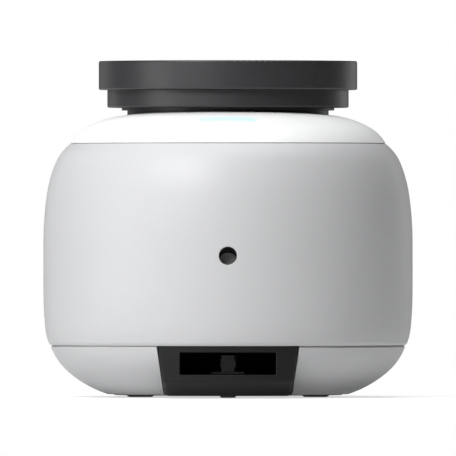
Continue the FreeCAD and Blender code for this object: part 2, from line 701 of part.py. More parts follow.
def front_panel():
    top = "keel_rim_height"
    lip_face = "panel_face_high - panel_lip_setback"
    lip_back = "panel_face_high - panel_lip_setback - lip_thickness"
    lip_high = "keel_rim_height + lip_overlap"
    lap_end = "tongue_radius - tongue_lap"
    tongue_clear = "tongue_radius + tongue_gap"
    outline = [
        ("chin_foot_radius", "panel_foot_height"),
        ("panel_face_low", "chin_height"),
        ("panel_face_high", top),
        (lip_face, top),
        (lip_face, lip_high),
        (lip_back, lip_high),
        (lip_back, top),
        ("panel_face_low - wall", "chin_height + 1.2"),
        ("chin_foot_radius + 0.5", f"{PLATE_TOP} + wall"),
        (lap_end, f"{PLATE_TOP} + wall"),
        (lap_end, PLATE_TOP),
        (tongue_clear, PLATE_TOP),
        (tongue_clear, "panel_foot_height"),
    ]
    band = oblong("panel_band", outline)
    face_outline = panel_prism("panel_outline", "0")
    lip_window = block("panel_lip_window", ("2*(panel_top_half - 1)", "2*reach", "2*lip_overlap"),
                       ("0", FRONT, "keel_rim_height + lip_overlap"))
    face = common("panel_face", band, fuse("panel_limits", [face_outline, lip_window]))
    tunnel_length = "outside - tunnel_end"
    tunnel = straight_cut("slot_tunnel", "slot_width + 2*tunnel_wall", "slot_height + 2*tunnel_wall",
                          "slot_middle", "tunnel_end", tunnel_length, "slot_corner + tunnel_wall")
    tunnel_inside = common("slot_tunnel_inside", tunnel, inside_front("tunnel_limit", "panel_face_low - 1"))
    slot = straight_cut("slot", "slot_width", "slot_height", "slot_middle", "tunnel_end - reach/4", "2*reach")
    floor_gap = block("cheek_floor_gap", ("2*tongue_half + panel_gap", "outside", "20"),
                      ("0", "-tongue_radius", "0"))
    cheek_ring = cut("cheek_ring", panel_prism("cheek_outer", "0"),
                     [panel_prism("cheek_inner", "-wall", "wall"), floor_gap])
    cheek_form = oblong("cheek_form", [
        ("plate_radius + 1.5", "panel_foot_height"),
        ("chin_foot_radius", "panel_foot_height"),
        ("panel_face_low", "chin_height"),
        ("panel_face_high", top),
        (lip_back, top),
        ("plate_radius + 1.5", top),
    ])
    front_half = block("cheek_limit", ("outside", "outside", "outside"),
                       ("0", "-straight_half - outside/2", "0"))
    cheeks = common("panel_cheeks", common("cheek_walls", cheek_ring, cheek_form), front_half)
    blank = cut("front_panel_sharp", fuse("front_panel_blank", [face, cheeks, tunnel_inside]), [slot])
    blank.Refine = True
    node(finished_panel(blank))


def finished_panel(blank):
    """The front panel with its slot chamfered, and its slanted sides and chin line rounded."""
    half = size_of("slot_width/2") + 1
    slot_low = size_of("slot_middle - slot_height/2") - 1
    slot_high = size_of("slot_middle + slot_height/2") + 1
    chin = size_of("chin_height")
    face_low, face_high = size_of("panel_face_low"), size_of("panel_face_high")

    def on_face(points):
        return all(point.y < 0 and face_low - 0.1 < face_radius(point) < face_high + 0.1 for point in points)

    def round_slot(points):
        return on_face(points) and all(
            abs(point.x) < half and slot_low < point.z < slot_high for point in points)

    def on_side(points):
        return on_face(points) and all(abs(point.x) > half for point in points) and (
            abs(points[0].z - points[-1].z) > chin)

    def on_chin(points):
        return on_face(points) and all(abs(point.z - chin) < 0.1 for point in points)

    framed = edged("front_panel_framed", "Part::Chamfer", blank, "slot_edge", round_slot)
    sided = edged("front_panel_sided", "Part::Fillet", framed, "panel_brow_edge", on_side)
    return edged("front_panel", "Part::Fillet", sided, "chin_edge", on_chin)


def face_radius(point):
    """A point's distance from the front end's axis."""
    return math.hypot(point.x, point.y + size_of("straight_half"))


def edged(label, kind, base, size, wanted):
    """A chamfer or fillet on the edges whose start, middle and end are wanted."""
    doc.recompute()
    width = size_of(size)
    chosen = []
    for index, edge in enumerate(base.Shape.Edges, start=1):
        span = edge.LastParameter - edge.FirstParameter
        points = [edge.valueAt(edge.FirstParameter + part * span) for part in (0, 0.5, 1)]
        if wanted(points):
            chosen.append((index, width, width))
    item = doc.addObject(kind, label)
    item.Base = base
    item.Edges = chosen
    return item


# ---- Front sensor and rear service panel ---------------------------------------------------

def tilted_rod(label, radius, reach, length):
    """A cylinder on the sensor's axis, from reach in front of the wall back over length."""
    item = doc.addObject("Part::Cylinder", label)
    bind(item, "Radius", radius)
    bind(item, "Height", length)
    wall_y = "(straight_half + body_radius - wall)"
    place(item, "0", f"-{wall_y} - ({reach})*cos(sensor_tilt)",
          f"sensor_height + ({reach})*sin(sensor_tilt)",
          rotation=Rotation(Vector(1, 0, 0), size_of("-90 - sensor_tilt")))
    return item


def sensor_notch(label):
    """The space that the ledge and the middle plate leave for the sensor."""
    return block(label, ("2*sleeve_flange + 12", "60", "40"), ("0", f"{FRONT} + 19", "mid_height"))


def sensor_sleeve():
    lining = "body_radius - wall - 0.2"
    tube = tilted_rod("sleeve_tube", "sensor_radius + sleeve_wall", "10", "sleeve_depth + 10")
    flange = rod("sleeve_flange_disc", "sleeve_flange", "4*wall",
                 ("0", f"{FRONT} + 2*wall", "sensor_height"), "y")
    flange_back = inside_front("flange_back", f"{lining} - 2.5")
    flange_ring = cut("sleeve_flange_ring", flange, [flange_back])
    outer = common("sleeve_outer", fuse("sleeve_blank", [tube, flange_ring]),
                   inside_front("sleeve_limit", lining))
    node(cut("sensor_sleeve", outer, [tilted_rod("sleeve_bore", "sensor_radius", "30", "80")]))


def sensor_transducer():
    can = tilted_rod("transducer_can", "sensor_radius - 0.1", "-transducer_depth", "transducer_length")
    tail = tilted_rod("transducer_tail", "sensor_radius - 3", "-transducer_depth - transducer_length", "6")
    node(fuse("sensor_transducer", [can, tail]))


def rear_panel():
    outer = straight_cut("tray_outer", "tray_width", "tray_height", "tray_middle",
                         "-outside", "outside - tray_floor", "tray_corner")
    outer_run = belly_run("0")
    limit = oblong("casing_form", outer_run + [("0", outer_run[-1][1]), ("0", outer_run[0][1])])
    recess = straight_cut("tray_recess", "tray_width - 2*tray_wall", "tray_height - 2*tray_wall",
                          "tray_middle", "-outside", "outside - tray_floor - tray_wall",
                          "tray_corner - tray_wall")
    button_hole = rod("button_hole", "button_radius + 0.3", "20", control_place(-1, "0"), "y")
    socket_hole = rod("socket_hole", "socket_radius", "20", control_place(1, "0"), "y")
    node(cut("rear_panel", common("tray_blank", outer, limit), [recess, button_hole, socket_hole]))


def control_place(across, behind):
    """A place on the rear panel's floor, measured outward from its inner face."""
    return (f"{across}*control_offset", f"tray_floor + ({behind})", "tray_middle")


def power_button():
    cap = rod("button_cap", "button_radius", "tray_wall + 2*button_travel + 2",
              control_place(-1, "tray_wall/2 + button_travel - 1"), "y")
    collar = rod("button_collar", "button_radius + 2", "2", control_place(-1, "-1.4"), "y")
    node(fuse("power_button", [cap, collar]))
    case = rod("switch_case", "button_radius + 4", "9", control_place(-1, "-9.5"), "y")
    hollow = rod("switch_hollow", "button_radius + 2.4", "9", control_place(-1, "-7.5"), "y")
    node(cut("switch_housing", case, [hollow]))


def charge_socket():
    barrel = rod("socket_barrel", "socket_radius", "22", control_place(1, "-6"), "y")
    rim = rod("socket_rim", "socket_radius + 2", "1.5", control_place(1, "tray_wall + 0.75"), "y")
    bore = rod("socket_bore", "socket_radius - 3", "18", control_place(1, "0"), "y")
    pin = rod("socket_pin", "1.2", "14", control_place(1, "-4"), "y")
    shell = cut("socket_shell", fuse("socket_blank", [barrel, rim]), [bore])
    node(fuse("charge_socket", [shell, pin]))


# ---- Chassis -----------------------------------------------------------------------------

def base_plate():
    plate = stadium("plate_slab", "plate_radius", "plate_height", "plate_thickness")
    tongue_disc = rod("tongue_disc", "tongue_radius", "plate_thickness",
                      ("0", "-straight_half", "plate_height + plate_thickness/2"))
    tongue_limit = block("tongue_limit", ("2*tongue_half", "2*reach", "reach"),
                         ("0", f"{FRONT} + reach", "0"))
    blank = fuse("base_plate_blank", [plate, common("plate_tongue", tongue_disc, tongue_limit)])
    tools = [wheel_slot("plate_wheel_slot", side) for side in SIDES.values()]
    for end in ENDS.values():
        tools.append(rod("caster_opening", "caster_hole", "reach", ("0", f"{end}*caster_along", "0")))
    for x, y in BASE_SCREW_PLACES:
        tools.append(rod("plate_screw_hole", "screw_radius", "reach", (x, y, "0")))
        tools.append(rod("plate_screw_sink", "screw_head + 0.2", "screw_head_height",
                         (x, y, "plate_height + screw_head_height/2")))
    node(cut("base_plate", blank, tools))


def base_screws():
    node(fuse("base_screws", [
        piece
        for x, y in BASE_SCREW_PLACES
        for piece in (
            rod("base_screw_shank", "screw_radius", "plate_thickness + 5",
                (x, y, "plate_height + plate_thickness/2 + 2.6")),
            rod("base_screw_head", "screw_head", "screw_head_height - 0.2",
                (x, y, "plate_height + screw_head_height/2 + 0.1")),
        )
    ]))


def mid_plate():
    plate = stadium("mid_slab", "mid_radius", "mid_height", "plate_thickness")
    cable_way = block("mid_cable_way", ("cable_way_width", "cable_way_length", "reach"),
                      ("0", "cable_way_place", "mid_height"))
    tools = [cable_way, sensor_notch("mid_notch")]
    for x, y in LEDGE_SCREW_PLACES:
        tools.append(rod("mid_screw_hole", "screw_radius", "reach", (x, y, "mid_height")))
    node(cut("mid_plate", plate, tools))


def ledge_screws():
    node(fuse("ledge_screws", [
        piece
        for x, y in LEDGE_SCREW_PLACES
        for piece in (
            rod("ledge_screw_shank", "screw_radius", "plate_thickness + 4", (x, y, f"{MID_TOP} - 3.5")),
            rod("ledge_screw_head", "screw_head", "screw_head_height",
                (x, y, f"{MID_TOP} + screw_head_height/2")),
        )
    ]))


def pillars(label, low, high):
    """Four hollow pillars between two plates."""
    length = f"({high} - {low})"
    middle = f"({low} + {high})/2"
    tubes = []
    for end in ENDS.values():
        for side in SIDES.values():
            centre = (f"{side}*pillar_across", f"{end}*pillar_along", middle)
            solid = rod(label + "_rod", "pillar_radius", length, centre)
            bore = rod(label + "_bore", "pillar_radius - 3", length, centre)
            tubes.append(cut(label + "_tube", solid, [bore]))
    node(fuse(label, tubes))


def top_frame():
    plate = stadium("frame_slab", "frame_radius", "frame_height", "frame_thickness")
    hole = rod("frame_opening", "frame_hole", "40", ("0", "0", "frame_height"))
    node(cut("top_frame", plate, [hole]))


# ---- Payload deck --------------------------------------------------------------------------

BALL_HEIGHT = "(lip_top + race_height/2 + 0.4)"
GROOVE_RADIUS = "(ball_radius + ball_play)"
GROOVE_HALF = f"sqrt({GROOVE_RADIUS}^2 - race_gap^2)"
DECK_FLOOR = "(lip_top + turn_gap)"


def neck_ring():
    foot = "(frame_height + frame_thickness)"
    node(turned("neck_ring", [
        ("neck_foot", foot),
        ("neck_radius", foot),
        ("neck_radius", "neck_top"),
        ("lip_radius", "neck_top"),
        ("lip_radius", "lip_top"),
        ("neck_bore", "lip_top"),
        ("neck_bore", "lip_top - neck_wall"),
        ("neck_radius - neck_wall", "lip_top - neck_wall"),
        ("neck_radius - neck_wall", f"{foot} + 3"),
        ("neck_foot", f"{foot} + 3"),
    ]))


def deck_bearing():
    inner_face = "(ball_circle - race_gap)"
    outer_face = "(ball_circle + race_gap)"
    low = "lip_top"
    high = "(lip_top + race_height + 0.5)"
    node(turned("bearing_inner_race", [
        ("race_inner_bore", low),
        (inner_face, low),
        (inner_face, f"{BALL_HEIGHT} - {GROOVE_HALF}"),
        (inner_face, f"{BALL_HEIGHT} + {GROOVE_HALF}", GROOVE_RADIUS, DOWNWARD),
        (inner_face, high),
        ("race_inner_bore", high),
    ]))
    node(turned("bearing_outer_race", [
        (outer_face, "lip_top + 0.8"),
        ("race_outer", "lip_top + 0.8"),
        ("race_outer", "lip_top + 0.8 + race_height"),
        (outer_face, "lip_top + 0.8 + race_height"),
        (outer_face, f"{BALL_HEIGHT} + {GROOVE_HALF}"),
        (outer_face, f"{BALL_HEIGHT} - {GROOVE_HALF}", GROOVE_RADIUS, DOWNWARD),
    ]))
    balls = []
    for x, y in around(BEARING_BALLS, "ball_circle"):
        ball = doc.addObject("Part::Sphere", "ball")
        bind(ball, "Radius", "ball_radius")
        place(ball, x, y, BALL_HEIGHT)
        balls.append(ball)
    node(fuse("bearing_balls", balls))


def deck_skirt():
    floor_top = f"({DECK_FLOOR} + deck_wall)"
    shell = turned("skirt_shell", [
        ("race_outer", DECK_FLOOR),
        ("skirt_radius - deck_edge", DECK_FLOOR),
        ("skirt_radius", f"{DECK_FLOOR} + deck_edge", "deck_edge", UPWARD),
        ("skirt_radius", "deck_base"),
        ("skirt_radius - deck_wall", "deck_base"),
        ("skirt_radius - deck_wall", floor_top),
        ("hub_outer", floor_top),
        ("hub_outer", "deck_base"),
        ("race_outer", "deck_base"),
    ])
    bosses = []
    tools = []
    for x, y in around(DECK_SCREWS, "deck_screw_circle"):
        middle = f"({DECK_FLOOR} + 0.5 + deck_base)/2"
        bosses.append(rod("skirt_boss", "screw_head + 3", f"deck_base - {DECK_FLOOR} - 0.5", (x, y, middle)))
        tools.append(rod("skirt_screw_hole", "screw_radius", "60", (x, y, "deck_base")))
        tools.append(rod("skirt_counterbore", "screw_head + 0.3", "8", (x, y, DECK_FLOOR)))
    node(cut("deck_skirt", fuse("deck_skirt_blank", [shell] + bosses), tools))


def deck_plate():
    under = "(deck_top - deck_wall)"
    flange_top = "(deck_base + 6)"
    spigot = "(race_outer - 0.1)"
    spigot_low = "(lip_top + 0.8 + race_height)"
    shell = turned("deck_shell", [
        ("0", under),
        ("hub_inner", under),
        ("hub_inner", spigot_low),
        (spigot, spigot_low),
        (spigot, "deck_base"),
        ("hub_outer", "deck_base"),
        ("hub_outer", under),
        ("deck_radius - deck_wall", under),
        ("deck_radius - deck_wall", flange_top),
        ("deck_flange", flange_top),
        ("deck_flange", "deck_base"),
        ("deck_radius - deck_edge", "deck_base"),
        ("deck_radius", "deck_base + deck_edge", "deck_edge", UPWARD),
        ("deck_radius", "deck_top - deck_edge"),
        ("deck_radius - deck_edge", "deck_top", "deck_edge", UPWARD),
        ("0", "deck_top"),
    ])
    pieces = [shell]
    tools = []
    for index in range(DECK_RIBS):
        rib = block("deck_rib", ("deck_radius - hub_outer", "3", "14"), ("0", "0", "0"))
        angle = 360.0 * (index + 0.5) / DECK_RIBS
        place(rib, f"(hub_outer - 1)*cos({angle})", f"(hub_outer - 1)*sin({angle})", f"{under} - 13",
              rotation=Rotation(Vector(0, 0, 1), angle))
        pieces.append(rib)
    for x, y in around(DECK_HOLES, "deck_hole_circle", 45.0):
        pieces.append(rod("deck_boss", "deck_boss_radius", "deck_boss_height - 1",
                          (x, y, "deck_top - 1 - (deck_boss_height - 1)/2")))
        tools.append(rod("deck_hole", "deck_hole_radius", "2*deck_boss_height", (x, y, "deck_top")))
    for x, y in around(DECK_SCREWS, "deck_screw_circle"):
        tools.append(rod("deck_screw_hole", "screw_radius", "60", (x, y, "deck_base - 24")))
    node(cut("deck_plate", fuse("deck_plate_blank", pieces), tools))


def deck_screws():
    pieces = []
    head_top = f"({DECK_FLOOR} + 4)"
    for x, y in around(DECK_SCREWS, "deck_screw_circle"):
        pieces.append(rod("deck_screw_shank", "screw_radius", "22", (x, y, f"{head_top} + 11")))
        pieces.append(rod("deck_screw_head", "screw_head", "3", (x, y, f"{head_top} - 1.5")))
    node(fuse("deck_screws", pieces))


# ---- Drive units ---------------------------------------------------------------------------

AXLE_HEIGHT = "wheel_radius"
WHEEL_OUTER = "(wheel_inner + wheel_width)"


def tyre(name, side):
    low = "wheel_inner"
    high = WHEEL_OUTER
    node(turned_about_x(name + "_tyre", [
        ("rim_radius", low),
        ("wheel_radius - tyre_shoulder", low),
        ("wheel_radius", f"{low} + tyre_shoulder", "tyre_shoulder", UPWARD),
        ("wheel_radius", f"{high} - tyre_shoulder"),
        ("wheel_radius - tyre_shoulder", high, "tyre_shoulder", UPWARD),
        ("rim_radius", high),
    ], side, "0", AXLE_HEIGHT))


def hub(name, side):
    """The motor's outer can, which carries the tyre and turns on the axle."""
    bore = "(axle_radius + run_play)"
    web = f"({WHEEL_OUTER} - rim_wall)"
    node(turned_about_x(name + "_hub", [
        (bore, f"{web} - 3"),
        ("2.2*axle_radius", f"{web} - 3"),
        ("2.2*axle_radius", web),
        ("rim_radius - rim_wall", web),
        ("rim_radius - rim_wall", "wheel_inner + 1"),
        ("rim_radius", "wheel_inner + 1"),
        ("rim_radius", WHEEL_OUTER),
        ("0", WHEEL_OUTER),
        ("0", f"{WHEEL_OUTER} - 2"),
        (bore, f"{WHEEL_OUTER} - 2"),
    ], side, "0", AXLE_HEIGHT))


def hub_cover(name, side):
    node(turned_about_x(name + "_hub_cover", ring_outline(
        "axle_radius + run_play", "rim_radius - rim_wall", "wheel_inner + 1", "wheel_inner + 4",
    ), side, "0", AXLE_HEIGHT))


def stator(name, side):
    middle = f"{side}*(wheel_inner + wheel_width/2 - 0.5)"
    core = rod("stator_core", "stator_radius", "stator_width", (middle, "0", AXLE_HEIGHT), "x")
    bore = rod("stator_bore", "axle_radius", "stator_width + 2", (middle, "0", AXLE_HEIGHT), "x")
    tools = [bore]
    for index in range(STATOR_TEETH):
        angle = 360.0 * index / STATOR_TEETH
        y = f"0.74*stator_radius*cos({angle})"
        z = f"{AXLE_HEIGHT} + 0.74*stator_radius*sin({angle})"
        tools.append(rod("stator_slot", "stator_slot", "stator_width + 2", (middle, y, z), "x"))
    node(cut(name + "_stator", core, tools))


def axle(name, side):
    inner = "arm_inner"
    outer = f"({WHEEL_OUTER} - 2.5)"
    shaft = rod("axle_shaft", "axle_radius", f"{outer} - {inner}",
                (f"{side}*({inner} + {outer})/2", "0", AXLE_HEIGHT), "x")
    shoulder_x = f"{side}*(arm_inner + arm_thickness + 1.5)"
    shoulder = rod("axle_shoulder", "axle_radius + 4", "3", (shoulder_x, "0", AXLE_HEIGHT), "x")
    node(fuse(name + "_axle", [shaft, shoulder]))


def swing_arm(name, side):
    middle = f"{side}*(arm_inner + arm_thickness/2)"
    bar = block("arm_bar", ("arm_thickness", "arm_pivot + arm_tail", "arm_height"),
                (middle, "(arm_tail - arm_pivot)/2", AXLE_HEIGHT))
    pivot_boss = rod("arm_pivot_boss", "pin_radius + 7", "arm_thickness",
                     (middle, "-arm_pivot", AXLE_HEIGHT), "x")
    axle_boss = rod("arm_axle_boss", "axle_radius + 9", "arm_thickness", (middle, "0", AXLE_HEIGHT), "x")
    seat_width = "(arm_inner + arm_thickness - bracket_inner)"
    seat = block("arm_spring_seat", (seat_width, "20", "arm_height/2"),
                 (f"{side}*(bracket_inner + {seat_width}/2)", "spring_along", AXLE_HEIGHT))
    guide = rod("arm_spring_guide", "spring_radius - spring_wire - 0.6", "10",
                (f"{side}*spring_across", "spring_along", f"{AXLE_HEIGHT} + arm_height/4 + 5"))
    bar_relief = block("arm_relief", ("40", "22", "40"),
                       (f"{side}*arm_inner", "spring_along", f"{AXLE_HEIGHT} + arm_height/4 + 20"))
    relieved = cut("arm_bar_relieved", bar, [bar_relief])
    blank = fuse("arm_blank", [relieved, pivot_boss, axle_boss, seat, guide])
    bores = [
        rod("arm_pivot_bore", "pin_radius + run_play", "30", (middle, "-arm_pivot", AXLE_HEIGHT), "x"),
        rod("arm_axle_bore", "axle_radius", "30", (middle, "0", AXLE_HEIGHT), "x"),
    ]
    node(cut(name + "_swing_arm", blank, bores))


def pivot_bracket(name, side):
    """A cheek on the base plate that holds the pivot pin and stops the arm's upward swing."""
    thickness = "(arm_inner - 0.3 - bracket_inner)"
    middle = f"{side}*(bracket_inner + {thickness}/2)"
    height = f"({AXLE_HEIGHT} + 15 - {PLATE_TOP})"
    cheek = block("bracket_cheek", (thickness, "bracket_length", height),
                  (middle, "-arm_pivot", f"{PLATE_TOP} + {height}/2"))
    foot = block("bracket_foot", (thickness, "bracket_length + 24", "5"),
                 (middle, "-arm_pivot", f"{PLATE_TOP} + 2.5"))
    stop_width = "(arm_inner + arm_thickness - bracket_inner)"
    stop = block("bracket_stop", (stop_width, "22", "4.6"),
                 (f"{side}*(bracket_inner + {stop_width}/2)", "-arm_pivot + 25",
                  f"{AXLE_HEIGHT} + arm_height/2 + 2.7"))
    stop_root = block("bracket_stop_root", (thickness, "30", "8"),
                      (middle, "-arm_pivot + 21", f"{AXLE_HEIGHT} + arm_height/2 + 1"))
    blank = fuse("bracket_blank", [cheek, foot, stop, stop_root])
    bore = rod("bracket_bore", "pin_radius", "60", (middle, "-arm_pivot", AXLE_HEIGHT), "x")
    node(cut(name + "_pivot_bracket", blank, [bore]))


def pivot_pin(name, side):
    inner = "bracket_inner"
    outer = "(arm_inner + arm_thickness + 0.3)"
    shank = rod("pin_shank", "pin_radius", f"{outer} - {inner}",
                (f"{side}*({inner} + {outer})/2", "-arm_pivot", AXLE_HEIGHT), "x")
    head_length = "2.5"
    head = rod("pin_head", "pin_radius + 3", head_length,
               (f"{side}*({outer} + {head_length}/2)", "-arm_pivot", AXLE_HEIGHT), "x")
    node(fuse(name + "_pivot_pin", [shank, head]))


def spring(name, side):
    """A coil between the arm's seat and the middle plate."""
    low = f"({AXLE_HEIGHT} + arm_height/4)"
    coil = doc.addObject("Part::Helix", "spring_path")
    bind(coil, "Pitch", "spring_pitch")
    bind(coil, "Height", f"mid_height - {low} - 2*spring_wire - 0.2")
    bind(coil, "Radius", "spring_radius")
    wire = doc.addObject("Part::Circle", "spring_section")
    bind(wire, "Radius", "spring_wire")
    place(wire, "spring_radius", "0", "0", rotation=Rotation(Vector(1, 0, 0), 90))
    sweep = doc.addObject("Part::Sweep", name + "_spring")
    sweep.Sections = [wire]
    sweep.Spine = (coil, ["Edge1"])
    sweep.Solid = True
    sweep.Frenet = True
    place(sweep, f"{side}*spring_across", "spring_along", f"{low} + spring_wire + 0.1")
    node(sweep)


# ---- Casters -------------------------------------------------------------------------------

def caster(name, end):
    stem_y = f"{end}*caster_along"
    axle_y = f"({stem_y} + caster_trail)"
    leg_gap = "(caster_width/2 + 1.5)"
    bridge_low = "(fork_top + 0.5)"
    bridge_high = f"({bridge_low} + 6)"

    disc = rod("fork_disc", "20", "4", ("0", stem_y, "fork_top - 2"))
    pieces = [disc]
    for side in SIDES.values():
        x = f"{side}*({leg_gap} + fork_plate/2)"
        pieces.append(block("fork_leg", ("fork_plate", "16", "fork_top - caster_radius"),
                            (x, axle_y, "(fork_top + caster_radius)/2")))
        pieces.append(rod("fork_eye", "8", "fork_plate", (x, axle_y, "caster_radius"), "x"))
    pieces.append(block("fork_yoke", (f"2*({leg_gap} + fork_plate)", "caster_trail + 8", "4"),
                        ("0", f"{stem_y} + (caster_trail + 8)/2", "fork_top - 2")))
    pieces.append(rod("fork_stem", "stem_radius", f"{bridge_high} + 3.5 - fork_top + 2",
                      ("0", stem_y, f"(fork_top - 2 + {bridge_high} + 3.5)/2")))
    pieces.append(rod("fork_clip", "stem_radius + 3", "3", ("0", stem_y, f"{bridge_high} + 2")))
    axle_bore = rod("fork_bore", "caster_axle", "60", ("0", axle_y, "caster_radius"), "x")
    node(cut(name + "_caster_fork", fuse("fork_blank", pieces), [axle_bore]))

    pin = rod("caster_pin", "caster_axle", f"2*({leg_gap} + fork_plate)", ("0", axle_y, "caster_radius"), "x")
    heads = [rod("caster_pin_head", "caster_axle + 2", "1.5",
                 (f"{side}*({leg_gap} + fork_plate + 0.75)", axle_y, "caster_radius"), "x")
             for side in SIDES.values()]
    node(fuse(name + "_caster_axle", [pin] + heads))

    half = "caster_width/2"
    node(turned_about_x(name + "_caster_wheel", [
        ("caster_axle + run_play", f"-{half}"),
        ("caster_radius - 3", f"-{half}"),
        ("caster_radius", f"-{half} + 3", "3", UPWARD),
        ("caster_radius", f"{half} - 3"),
        ("caster_radius - 3", half, "3", UPWARD),
        ("caster_axle + run_play", half),
    ], 1, axle_y, "caster_radius"))

    plate_width = "2*(bridge_half + bridge_plate)"
    plate = block("bridge_top", (plate_width, "bridge_length", "6"), ("0", stem_y, f"{bridge_high} - 3"))
    pieces = [plate]
    for side in SIDES.values():
        leg_height = f"({bridge_high} - {PLATE_TOP})"
        pieces.append(block("bridge_leg", ("bridge_plate", "bridge_length", leg_height),
                            (f"{side}*(bridge_half + bridge_plate/2)", stem_y,
                             f"{PLATE_TOP} + {leg_height}/2")))
        pieces.append(block("bridge_foot", ("16", "bridge_length", "3"),
                            (f"{side}*(bridge_half + 8)", stem_y, f"{PLATE_TOP} + 1.5")))
    stem_bore = rod("bridge_bore", "stem_radius + run_play", "40", ("0", stem_y, bridge_high))
    node(cut(name + "_caster_bridge", fuse("bridge_blank", pieces), [stem_bore]))


# ---- Scanner, battery and electronics --------------------------------------------------------

def scanner():
    rotor_low = "(slot_middle - rotor_height/2)"
    base_top = f"({rotor_low} - rotor_gap)"
    base_low = f"({base_top} - scanner_base)"
    centre_y = "-scanner_forward"
    case = block("scanner_case", ("scanner_size", "scanner_size", "scanner_base"),
                 ("0", centre_y, f"{base_top} - scanner_base/2"))
    bore = rod("scanner_bore", "rotor_stub + run_play", "16", ("0", centre_y, base_top))
    node(cut("scanner_base", case, [bore]))

    head = rod("rotor_head", "rotor_radius", "rotor_height", ("0", centre_y, "slot_middle"))
    stub = rod("rotor_stub", "rotor_stub", "7", ("0", centre_y, f"{rotor_low} - 3.4"))
    windows = [block("rotor_window", ("10", "5", "9"),
                     (f"{side}*7", f"{centre_y} - rotor_radius", "slot_middle")) for side in SIDES.values()]
    node(cut("scanner_rotor", fuse("rotor_blank", [head, stub]), windows))

    # The bracket is a shroud, open to the front, with a shelf that the scanner stands on.
    back = f"({centre_y} + scanner_size/2 + 0.2)"
    depth = f"(tunnel_end - 0.5 + {back})"
    height = f"(shroud_top - {PLATE_TOP})"
    width = "2*shroud_half"
    middle_y = f"{back} - {depth}/2"
    shelf = block("scanner_shelf", (width, depth, "2.5"), ("0", middle_y, f"{base_low} - 1.25"))
    roof = block("shroud_roof", (width, depth, "2"), ("0", middle_y, "shroud_top - 1"))
    rear = block("shroud_back", (width, "2", height), ("0", f"{back} + 1", f"{PLATE_TOP} + {height}/2"))
    walls = []
    for side in SIDES.values():
        walls.append(block("shroud_wall", ("2", f"{depth} + 2", "shroud_top - shroud_foot"),
                           (f"{side}*(shroud_half - 1)", f"{middle_y} + 1", "(shroud_top + shroud_foot)/2")))
        walls.append(block("shroud_leg", ("4", "28", f"{base_low} - {PLATE_TOP}"),
                           (f"{side}*(scanner_size/2 + 5)", f"{back} - 13", f"({base_low} + {PLATE_TOP})/2")))
    node(fuse("scanner_bracket", [shelf, roof, rear] + walls))


def battery():
    top = f"({PLATE_TOP} + battery_height)"
    pack = block("battery_body", ("battery_width - 4", "battery_length", "battery_height"),
                 ("0", "0", f"{PLATE_TOP} + battery_height/2"))
    connector = block("battery_connector", ("26", "8", "16"),
                      ("0", "battery_length/2 + 3", f"{PLATE_TOP} + battery_height - 14"))
    node(fuse("battery_pack", [pack, connector]))

    legs = []
    for side in SIDES.values():
        x = f"{side}*(battery_width/2 + strap_thickness/2 - 1.5)"
        legs.append(block("strap_leg", ("strap_thickness", "strap_width", f"{top} - {PLATE_TOP}"),
                          (x, "0", f"({top} + {PLATE_TOP})/2")))
        legs.append(block("strap_foot", ("10", "strap_width", "strap_thickness"),
                          (f"{side}*(battery_width/2 + 3.5)", "0", f"{PLATE_TOP} + strap_thickness/2")))
    roof = block("strap_roof", ("battery_width + 2*strap_thickness - 3", "strap_width", "strap_thickness"),
                 ("0", "0", f"{top} + strap_thickness/2"))
    node(fuse("battery_bracket", legs + [roof]))


def board(label, size, centre, blocks):
    """A circuit board on four standoffs, with the given blocks of components on it."""
    width, length = size
    x, y = centre
    low = f"({MID_TOP} + standoff)"
    pieces = [block(label + "_laminate", (width, length, "board_thickness"),
                    (x, y, f"{low} + board_thickness/2"))]
    for across in SIDES.values():
        for along in ENDS.values():
            foot = (f"{x} + {across}*(({width})/2 - 6)", f"{y} + {along}*(({length})/2 - 6)",
                    f"{MID_TOP} + standoff/2")
            pieces.append(rod(label + "_standoff", "3", "standoff", foot))
    for offset_x, offset_y, block_size in blocks:
        middle = (f"{x} + {offset_x}", f"{y} + {offset_y}", f"{low} + board_thickness + {block_size[2]}/2")
        pieces.append(block(label + "_component", block_size, middle))
    node(fuse(label, pieces))


def electronics():
    board("main_board", ("150", "100"), ("0", "-60"),
          [(0, 0, (40, 40, 12)), (-50, 20, (30, 14, 14)), (50, -20, (16, 30, 10)), (-45, -25, (22, 22, 4))])
    board("motor_driver", ("130", "80"), ("0", "55"),
          [(-30, 0, (50, 60, 26)), (35, 18, (24, 24, 18)), (35, -20, (30, 16, 14))])


# ---- Assembly ----------------------------------------------------------------------------

def build():
    base_plate()
    lower_shell()
    front_panel()
    main_shell()
    top_cover()
    light_board()
    sensor_sleeve()
    sensor_transducer()
    rear_panel()
    charge_contacts()
    charge_socket()
    power_button()
    mid_plate()
    top_frame()
    pillars("lower_pillars", PLATE_TOP, "mid_height")
    pillars("upper_pillars", MID_TOP, "frame_height")
    base_screws()
    ledge_screws()
    neck_ring()
    deck_bearing()
    deck_skirt()
    deck_plate()
    deck_screws()
    for name, side in SIDES.items():
        for make in (tyre, hub, hub_cover, stator, axle, swing_arm, pivot_bracket, pivot_pin, spring):
            make(name, side)
    for name, end in ENDS.items():
        caster(name, end)
    scanner()
    battery()
    electronics()


def export():
    """Checks every object and writes each sub-part to a file of its own."""
    doc.recompute()
    for item in doc.Objects:
        faults = {"Invalid", "Error"} & set(item.State)
        if faults:
            raise RuntimeError(f"{item.Label} is {sorted(faults)}")
    os.makedirs("parts", exist_ok=True)
    for item in nodes:
        shape = item.Shape
        if shape.isNull() or not shape.isValid() or not shape.Solids:
            raise RuntimeError(f"{item.Label} has no valid solid")
        shape.exportStep(f"parts/{item.Label}.step")
        print(f"{item.Label}: {len(shape.Solids)} solid(s), {shape.Volume / 1000:.1f} cm3")


build()
export()
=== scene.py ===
import json
import math

